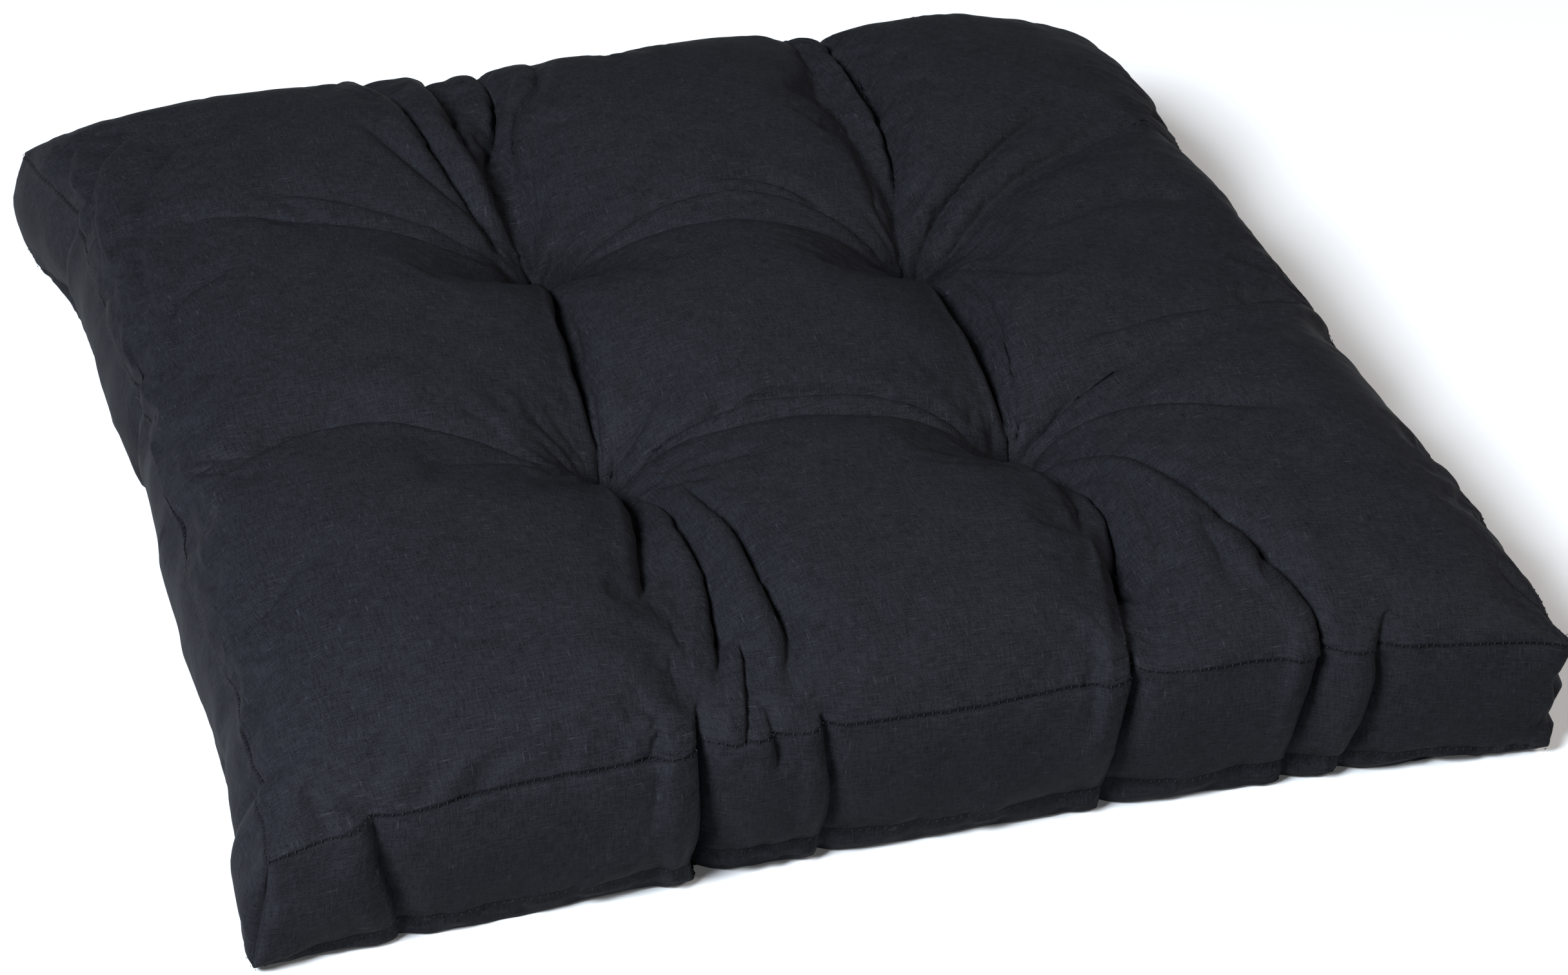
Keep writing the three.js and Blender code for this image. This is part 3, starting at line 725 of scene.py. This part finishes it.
def doubled(values, axis, closed):
    # twice the steps along one axis: each new point is (9 (b + c) - (a + d)) / 16 of its neighbours
    values = np.moveaxis(values, axis, 0)
    if closed:
        before, after, last = np.roll(values, 1, 0), np.roll(values, -1, 0), np.roll(values, -2, 0)
        between = (9 * (values + after) - before - last) / 16
        result = np.empty((2 * len(values),) + values.shape[1:])
        result[0::2], result[1::2] = values, between
    else:
        padded = np.concatenate([2 * values[:1] - values[1:2], values, 2 * values[-1:] - values[-2:-1]])
        between = (9 * (padded[1:-2] + padded[2:-1]) - padded[:-3] - padded[3:]) / 16
        result = np.empty((2 * len(values) - 1,) + values.shape[1:])
        result[0::2], result[1::2] = values, between
    return np.moveaxis(result, 0, axis)


def swellOut(top, wall, topHeld, wallHeld, values):
    # cloth simulation on every second line of the net, its movement carried back to all lines
    coarseTop, coarseWall = top[::2, ::2], wall[::2, ::2]
    topIndex, wallIndex, quads = coverNet(coarseTop, coarseWall)
    points = np.concatenate([coarseTop.reshape(-1, 3), coarseWall[1:].reshape(-1, 3)])
    held = np.concatenate([topHeld[::2, ::2].ravel(), wallHeld[::2, ::2][1:].ravel()])
    held = held * values["creaseGrip"]
    low, high = values["tuftHeights"]
    for tuftX, tuftY in tufts.values():
        away = np.hypot(points[:, 0] - tuftX, points[:, 1] - tuftY)
        atTuft = (away < values["tuftGrip"]) & (points[:, 2] < high) & (points[:, 2] > low)
        held = np.where(atTuft, 1.0, held)
    held[wallIndex[-2:]] = 1.0
    piece = addMesh("swellingCloth", points * mm, np.concatenate(quads), np.zeros((0, 3), int))
    group = piece.vertex_groups.new(name="held")
    count = values["gripLevels"]
    levels = np.round(held * count).astype(int)
    for level in range(1, count + 1):
        group.add(np.flatnonzero(levels == level).tolist(), level / count, "REPLACE")
    swelling = piece.modifiers.new("swelling", "CLOTH")
    settings = swelling.settings
    for name, value in values["cloth"].items():
        setattr(settings, name, value)
    settings.use_pressure = True
    settings.uniform_pressure_force = values["pressure"]
    settings.shrink_min = -values["spareCloth"]
    settings.vertex_group_mass = "held"
    settings.effector_weights.gravity = 0
    swelling.collision_settings.use_collision = False
    swelling.point_cache.frame_start = 1
    swelling.point_cache.frame_end = values["frames"]
    for number in range(1, values["frames"] + 1):
        scene.frame_set(number)
    moved = np.empty(len(points) * 3, np.float32)
    shaped = piece.evaluated_get(bpy.context.evaluated_depsgraph_get())
    shaped.data.vertices.foreach_get("co", moved)
    bpy.data.objects.remove(piece)
    scene.frame_set(1)
    step = moved.reshape(-1, 3) / mm - points
    length = np.linalg.norm(step, axis=-1, keepdims=True)
    print("cloth swelled by", np.round(np.percentile(length, (50, 90, 99, 100)), 1), "mm")
    step *= np.minimum(1, values["cap"] / np.maximum(length, 1e-6))
    topStep = doubled(doubled(step[topIndex], 0, False), 1, False)
    wallStep = doubled(doubled(step[wallIndex], 0, False), 1, True)
    # the strip, stretched between its seams, swells less than the top
    rows = np.arange(len(wallStep))
    wallShare = np.interp(rows, [0, 3, rows[-1]], [1.0, values["stripSwell"], 1.0])[:, None, None]
    return top + topStep, wall + wallStep * wallShare


started = time.time()
top, wall = swellOut(top, wall, topHeld, wallHeld, filling)
wall[..., 2] = np.clip(wall[..., 2], 0, None)
print("swelling took", round(time.time() - started, 1), "s")

# fine forms that come after the swelling: wrinkles, seams and the lumps of the filling
wrinkles = {
    "lumps": [(2.2, 70.0, 30, 1), (0.5, 22.0, 40, 2)],    # height, size, start and seed of each kind
    # rays at a tuft, and finer ones between them
    "tuftHeight": 2.1, "tuftSpokes": 3.0, "tuftNear": 9.0, "tuftRise": 14.0, "tuftFar": 80.0,
    "rayBend": 0.35, "fineSpokes": 2.3, "rayShare": 1.6, "fineShare": 0.7,
    "shoulders": {
        # height, middle, half width of the band of ridges along each side
        "left": (1.8, -276.0, 30.0),
        "right": (1.4, 284.0, 40.0),
        "front": (0.9, -272.0, 34.0),
        "back": (1.0, 280.0, 34.0),
    },
    "leftBack": (0.45, 0.55, 150.0, 130.0),    # the left ridges grow from this share towards the back
    "stripHeight": 0.8,
    "hemHeight": 1.7, "hemReach": 13.0,        # above the foot of the strip
    "cornerFade": 16.0, "seamFade": 10.0,
    "grooveDepth": 1.1, "grooveWidth": 0.65, "lowGroove": 0.6,
    "puckerHeight": 0.5, "puckerReach": 9.0, "puckerSize": 6.5,
}

ridgeSets = {
    # share of the height, slant of x along y and of y along x, size along x and y, seed
    "left": [(1.0, 0.16, 0.0, 9.0, 55.0, 31), (0.5, -0.1, 0.0, 6.0, 38.0, 32)],
    "right": [(1.0, 0.0, 0.35, 48.0, 12.0, 33), (0.5, 0.0, 0.2, 30.0, 7.0, 34)],
    "front": [(1.0, 0.0, 0.0, 15.0, 60.0, 35)],
    "back": [(1.0, 0.0, 0.0, 13.0, 50.0, 36)],
    "hem": [(1.0, 0.5, 0.0, 12.0, 26.0, 39), (0.5, -0.3, 0.0, 7.0, 18.0, 40)],
}


def ridges(x, y, seed):
    # rounded ridges with sharp furrows between them: the size of a smooth noise, about 0 on average
    return np.sqrt(smoothNoise(x, y, seed) ** 2 + 0.012) - 0.32


def ridgeBand(x, y, name):
    total = 0.0
    for share, slantX, slantY, sizeX, sizeY, seed in ridgeSets[name]:
        total = total + share * ridges((x + slantX * y) / sizeX + 20, (y + slantY * x) / sizeY + 20, seed)
    return total


def tuftRays(x, y, place, k):
    # ridges that run into a tuft, longest on the side away from the middle of the cushion
    away = np.hypot(x - place[0], y - place[1])
    angle = np.arctan2(y - place[1], x - place[0])
    outward = math.atan2(place[1], place[0])
    turn = angle + wrinkles["rayBend"] * smoothNoise(away / 30 + 9, angle * 1.5 + 9, 60 + k)
    rays = wrinkles["tuftSpokes"]
    fineRays = wrinkles["fineSpokes"] * rays
    ray = ridges(rays * np.cos(turn) + 20 + away / 90, rays * np.sin(turn) + 20, 10 + k)
    fine = ridges(fineRays * np.cos(turn) + 40, fineRays * np.sin(turn) + 20 + away / 60, 20 + k)
    rise = np.clip((away - wrinkles["tuftNear"]) / wrinkles["tuftRise"], 0, 1) ** 2
    reach = wrinkles["tuftFar"] * (0.55 + 0.45 * np.cos(angle - outward))
    fall = np.exp(-np.clip(away - 20, 0, None) / np.clip(0.45 * reach, 8, None))
    both = wrinkles["rayShare"] * ray + wrinkles["fineShare"] * fine * bell(away - 20, 22)
    return wrinkles["tuftHeight"] * rise * fall * both


def wrinkleField(pattern, lowSeam):
    # height of all fine forms above the surface; lowSeam is the way past the lower seam
    x, y = pattern[..., 0], pattern[..., 1]
    height = 0.0
    for rise, size, start, seed in wrinkles["lumps"]:
        height = height + rise * smoothNoise(x / size + start, y / size + start, seed)
    for k, place in enumerate(tufts.values()):
        height = height + tuftRays(x, y, place, k)
    corner = np.clip((half - np.minimum(np.abs(x), np.abs(y))) / wrinkles["cornerFade"], 0, 1)
    share, growth, place, reach = wrinkles["leftBack"]
    for side, (rise, middle, width) in wrinkles["shoulders"].items():
        band = rise * bell((x if side in ("left", "right") else y) - middle, width)
        if side == "left":
            band = band * (share + growth * bell(y - place, reach))
        height = height + band * ridgeBand(x, y, side) * corner
    seam = np.maximum(np.abs(x), np.abs(y)) - half  # past the upper seam, along the strip
    along = np.where(np.abs(x) > np.abs(y), y, x)
    fade = wrinkles["seamFade"]
    onStrip = np.clip(seam / fade, 0, 1) * np.clip(-lowSeam / fade, 0, 1)
    stripWave = smoothNoise(along / 21 + 20, seam / 30 + 20, 37)
    stripWave = stripWave + 0.6 * smoothNoise(along / 40 + 20, seam / 9 + 20, 38)
    height = height + wrinkles["stripHeight"] * onStrip * stripWave * corner
    hem = wrinkles["hemHeight"] * bell(lowSeam, wrinkles["hemReach"])
    height = height + hem * ridgeBand(along, seam, "hem") * corner
    for distance, seed, depth in ((seam, 41, 1.0), (lowSeam, 42, wrinkles["lowGroove"])):
        pucker = smoothNoise(along / wrinkles["puckerSize"] + 20, distance / 20 + 20, seed)
        height = height + wrinkles["puckerHeight"] * bell(distance, wrinkles["puckerReach"]) * pucker
        height = height - depth * wrinkles["grooveDepth"] * bell(distance, wrinkles["grooveWidth"])
    return height


def raiseWrinkles(points, pattern, flat, near, lowSeam, closed):
    # moves each point out by the height of its wrinkles
    outward, _, _ = surfaceFrame(points, flat, near, closed)
    return points + outward * wrinkleField(pattern, lowSeam)[..., None]


top = raiseWrinkles(top, topPattern, flatTop, nearTop ** 4, np.full(nearTop.shape, -60.0), False)
wallNear = np.concatenate([np.ones(len(dropStops)), np.linspace(0.7, 0, len(cover["insets"]))])[:, None]
wall = raiseWrinkles(wall, wallPattern, wallOut, wallNear * np.ones(wall.shape[:-1]), wallLowSeam, True)
wall[..., 2] = np.clip(wall[..., 2], 0, None)
print("wrinkles raised")

points, quads, fans, quadPlaces, fanPlaces = joinCover(
    top, wall, topPattern, wallPattern, ring, wallSides)
places = np.concatenate([quadPlaces.reshape(-1, 2), fanPlaces.reshape(-1, 2)]) * mm
cushionCover = addMesh("cushionCover", (points - shift) * mm, quads, fans, places)
print("cover joined:", len(points), "points,", 2 * len(quads) + len(fans), "triangles")


# cloth: anthracite cotton in plain weave, its threads lighter and darker along their length
weave = {
    "thread": 0.00042,        # metres from one thread to the next
    "slubLength": 0.006,      # how long a lighter stretch of thread is
    "threadWidth": 2.2,       # in threads, how wide a light or dark streak is
    "threadShare": 0.55, "speckleShare": 0.75, "patchShare": 0.16, "backShare": 0.4,
    "patchScale": 60.0, "toneSpan": (0.50, 0.96), "slubSpan": (0.74, 0.86),
    "darkTone": (0.0027, 0.0027, 0.0032),
    "lightTone": (0.0164, 0.0166, 0.0202),
    "slubTone": (0.029, 0.030, 0.036),
    # painted shade: a near black tone blended into the seam grooves and deep round the tufts, where shade
    # falls
    "paintedShadeTone": (0.001, 0.001, 0.0012),
    "paintedShadeShare": 0.6,       # how much of it darkens the seam grooves and the cloth deep round the tufts
    "seamShade": 0.7,         # how far from a seam it reaches, in millimetres, and from each tuft
    "tuftShade": {"frontLeft": 11.0, "frontRight": 10.0, "backLeft": 24.0, "backRight": 19.0},
    "shader": {"Roughness": 0.55, "Specular IOR Level": 0.015},
    "threadBump": 0.00006,
    "creaseBump": 0.00022, "creaseScale": 170.0, "drawnScale": (120.0, 420.0, 1.0),
}


class NodeBench:
    # short calls for laying out a node tree
    def __init__(self, tree):
        self.tree = tree

    def add(self, kind, **settings):
        node = self.tree.nodes.new(kind)
        for name, value in settings.items():
            setattr(node, name, value)
        return node

    def join(self, source, target):
        self.tree.links.new(source, target)
        return source

    def feed(self, node, *values):
        # puts a link or a number into each input in turn
        for socket, value in zip(node.inputs, values):
            if isinstance(value, bpy.types.NodeSocket):
                self.tree.links.new(value, socket)
            elif value is not None:
                socket.default_value = value
        return node

    def math(self, operation, *values):
        return self.feed(self.add("ShaderNodeMath", operation=operation), *values).outputs[0]

    def noise(self, vector, stretch, scale, detail, rough=0.5):
        stretched = self.add("ShaderNodeVectorMath", operation="MULTIPLY")
        moved = self.feed(stretched, vector, stretch).outputs[0]
        node = self.add("ShaderNodeTexNoise")
        self.join(moved, node.inputs["Vector"])
        node.inputs["Scale"].default_value = scale
        node.inputs["Detail"].default_value = detail
        node.inputs["Roughness"].default_value = rough
        return node.outputs["Fac"]

    def span(self, value, low, high):
        return self.feed(self.add("ShaderNodeMapRange"), value, low, high, 0.0, 1.0).outputs[0]

    def blend(self, factor, first, second):
        # one colour into another; each is a link or three numbers
        node = self.add("ShaderNodeMix", data_type="RGBA")
        self.join(factor, node.inputs["Factor"])
        for name, colour in (("A", first), ("B", second)):
            if isinstance(colour, tuple):
                node.inputs[name].default_value = (*colour, 1.0)
            else:
                self.join(colour, node.inputs[name])
        return node.outputs["Result"]


def plainWeaveGroup(values):
    # tone: warp and weft threads, each lighter and darker along itself, one over the other by turns
    # slub: rare long light threads; height: the threads' round backs
    group = bpy.data.node_groups.new("plainWeave", "ShaderNodeTree")
    group.interface.new_socket("Place", in_out="INPUT", socket_type="NodeSocketVector")
    for name in ("Tone", "Slub", "Height"):
        group.interface.new_socket(name, in_out="OUTPUT", socket_type="NodeSocketFloat")
    bench = NodeBench(group)
    place = bench.add("NodeGroupInput").outputs[0]
    finish = bench.add("NodeGroupOutput")
    thread, length = values["thread"], values["slubLength"]
    fine, long = 1 / (values["threadWidth"] * thread), 1 / length
    warp = bench.noise(place, (fine, long, 1.0), 1.0, 1.0)
    weft = bench.noise(place, (long, fine, 1.0), 1.0, 1.0)
    speckle = bench.noise(place, (1 / thread, 1 / thread, 1.0), 0.8, 2.0, 0.6)
    patch = bench.noise(place, (1.0, 1.0, 1.0), values["patchScale"], 3.0, 0.6)
    split = bench.feed(bench.add("ShaderNodeSeparateXYZ"), place)
    acrossX = bench.math("SINE", bench.math("MULTIPLY", split.outputs[0], math.pi / thread))
    acrossY = bench.math("SINE", bench.math("MULTIPLY", split.outputs[1], math.pi / thread))
    over = bench.span(bench.math("MULTIPLY", acrossX, acrossY), -0.4, 0.4)
    mixed = bench.feed(bench.add("ShaderNodeMix"), over, None, warp, weft).outputs[0]
    tone = bench.math("MULTIPLY", mixed, values["threadShare"])
    tone = bench.math("ADD", tone, bench.math("MULTIPLY", speckle, values["speckleShare"]))
    tone = bench.math("ADD", tone, bench.math("MULTIPLY", patch, values["patchShare"]))
    bench.join(bench.span(tone, *values["toneSpan"]), finish.inputs["Tone"])
    slubAcross = bench.noise(place, (long * 0.9, fine * 1.3, 3.0), 1.0, 0.0)
    slubAlong = bench.noise(place, (fine * 1.3, long * 0.9, 7.0), 1.0, 0.0)
    slubSpan = values["slubSpan"]
    slub = bench.math("MAXIMUM", bench.span(slubAcross, *slubSpan), bench.span(slubAlong, *slubSpan))
    bench.join(bench.math("MULTIPLY", slub, speckle), finish.inputs["Slub"])
    backs = bench.math("MULTIPLY", bench.math("ABSOLUTE", acrossX), bench.math("ABSOLUTE", acrossY))
    height = bench.math("ADD", bench.math("MULTIPLY", backs, values["backShare"]), speckle)
    bench.join(height, finish.inputs["Height"])
    return group


def clothMaterial(values):
    paint, shader = newPaint("anthraciteCloth", values["shader"])
    bench = NodeBench(paint.node_tree)
    place = bench.add("ShaderNodeUVMap", uv_map="pattern").outputs[0]
    cloth = bench.add("ShaderNodeGroup")
    cloth.node_tree = plainWeaveGroup(values)
    bench.join(place, cloth.inputs["Place"])
    tone = bench.blend(cloth.outputs["Tone"], values["darkTone"], values["lightTone"])
    tone = bench.blend(cloth.outputs["Slub"], tone, values["slubTone"])
    # painted shade in the seam grooves and round the tufts, blended into the cloth's tone
    paintedShade = bench.add("ShaderNodeAttribute", attribute_name="paintedShade").outputs["Fac"]
    tone = bench.blend(bench.math("MULTIPLY", paintedShade, values["paintedShadeShare"]), tone, values["paintedShadeTone"])
    bench.join(tone, shader.inputs["Base Color"])
    creases = bench.noise(place, (1.0, 1.0, 1.0), values["creaseScale"], 3.0, 0.55)
    drawn = bench.noise(place, values["drawnScale"], 1.0, 2.0)
    threads = bench.math("MULTIPLY", cloth.outputs["Height"], values["threadBump"])
    folds = bench.math("MULTIPLY", bench.math("ADD", creases, drawn), values["creaseBump"])
    bump = bench.add("ShaderNodeBump")
    bump.inputs["Strength"].default_value = 1.0
    bump.inputs["Distance"].default_value = 1.0
    bench.join(bench.math("ADD", threads, folds), bump.inputs["Height"])
    bench.join(bump.outputs["Normal"], shader.inputs["Normal"])
    return paint


def paintedShadeField(topPattern, wallPattern, lowSeam, values):
    # painted shade: 1 in the upper seam and at a tuft, half that in the lower seam, and 0 a little way
    # off
    reach = values["seamShade"]
    top = bell(half - np.abs(topPattern).max(-1), reach)
    for name, tuft in tufts.items():
        away = np.linalg.norm(topPattern - tuft, axis=-1)
        top = np.maximum(top, bell(away, values["tuftShade"][name]))
    wall = bell(np.abs(wallPattern).max(-1) - half, reach)
    wall = np.maximum(wall, 0.5 * bell(lowSeam, reach))
    return np.concatenate([top.ravel(), wall[1:].ravel()])


cushionCover.data.materials.append(clothMaterial(weave))
# painted shade of the seam grooves and tufts, kept on the cover's points
paintedShade = np.zeros(len(points), np.float32)
shade = paintedShadeField(topPattern, wallPattern, wallLowSeam, weave)
paintedShade[:len(shade)] = shade
cushionCover.data.attributes.new("paintedShade", "FLOAT", "POINT").data.foreach_set("value", paintedShade)
print("cloth woven")


# threads: the stitches show as short bars across both seams, where the filling pulls them open
stitches = {
    "pitch": 3.9,
    "reach": 0.65,       # half the length of a bar
    "slant": 0.3,
    "radius": 0.2,
    "arch": 0.3,
    "lift": -0.38,       # of its ends, from the cloth beside the groove
    "sides": 5,
    "spread": 0.08,      # how unevenly they are spaced, and turned
    "turn": 0.15,
    "topTilt": 0.75, "lowTilt": 0.45,    # how far they face up at the top seam, and down at the low one
    "shader": {"Base Color": (0.017, 0.0175, 0.0205), "Roughness": 0.6, "Specular IOR Level": 0.05},
}


def alongRing(field, run, stops):
    # a closed line's values at distances along it
    columns = [np.interp(stops, run, np.append(column, column[0])) for column in field.T]
    return np.stack(columns, 1)[:, None]


def seamThreads(lines, values):
    # each bar is a short tube bent over the seam's groove, laid every pitch along the seam
    allPoints, allQuads, allCaps, count = [], [], [], 0
    t = np.array([-1.0, -0.4, 0.4, 1.0])
    around = np.arange(values["sides"]) / values["sides"] * 2 * math.pi
    random = np.random.default_rng(7)
    for line, outward in lines:
        closed = np.concatenate([line, line[:1]])
        run = np.concatenate([[0], np.cumsum(np.linalg.norm(np.diff(closed, axis=0), axis=1))])
        number = int(run[-1] / values["pitch"])
        spread = random.uniform(-values["spread"], values["spread"], number)
        stops = (np.arange(number) + 0.5 + spread) * run[-1] / number
        place = alongRing(line, run, stops)
        ahead = alongRing(line, run, (stops + 1) % run[-1])
        along = unit(ahead - alongRing(line, run, (stops - 1) % run[-1]))
        out = alongRing(outward, run, stops)
        out = unit(out - along * (out * along).sum(-1, keepdims=True))
        turn = values["slant"] + random.uniform(-values["turn"], values["turn"], (number, 1, 1))
        across = np.cross(out, along) + along * turn
        rise = values["lift"] + values["arch"] * (1 - t ** 2) + wrinkles["grooveDepth"]
        centre = place + across * (t * values["reach"])[:, None] + out * rise[:, None]
        girth = values["radius"] * np.array([0.6, 1, 1, 0.6])[:, None, None]
        tube = along[:, :, None] * np.cos(around)[:, None] + out[:, :, None] * np.sin(around)[:, None]
        tube = centre[:, :, None] + girth * tube
        index = count + np.arange(tube[..., 0].size).reshape(tube.shape[:3])
        turned = np.roll(index, -1, 2)
        faces = np.stack([index[:, :-1], index[:, 1:], turned[:, 1:], turned[:, :-1]], -1)
        allQuads.append(faces.reshape(-1, 4))
        spokes = np.arange(1, values["sides"] - 1)
        for end, order in ((0, 1), (-1, -1)):
            rim = index[:, end]
            hub = np.broadcast_to(rim[:, :1], (number, len(spokes)))
            fan = np.stack([hub, rim[:, spokes], rim[:, spokes + 1]], -1)
            allCaps.append(fan[..., ::order].reshape(-1, 3))
        allPoints.append(tube.reshape(-1, 3))
        count += tube[..., 0].size
    return np.concatenate(allPoints), np.concatenate(allQuads), np.concatenate(allCaps)


level = np.concatenate([waysOut[wallSides], np.zeros((len(wallSides), 1))], 1)
topOut = level + (0, 0, stitches["topTilt"])
lowOut = level - (0, 0, stitches["lowTilt"])
seams = [(wall[0], topOut), (wall[len(dropStops) - 1], lowOut)]
barPoints, barQuads, barCaps = seamThreads(seams, stitches)
seamThread = addMesh("seamThread", (barPoints - shift) * mm, barQuads, barCaps)
seamThread.data.materials.append(newPaint("seamThread", stitches["shader"])[0])
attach(seamThread, "root")
print("threads sewn:", 2 * len(barQuads) + len(barCaps), "triangles")

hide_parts("cushion")
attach(cushionCover, "root")
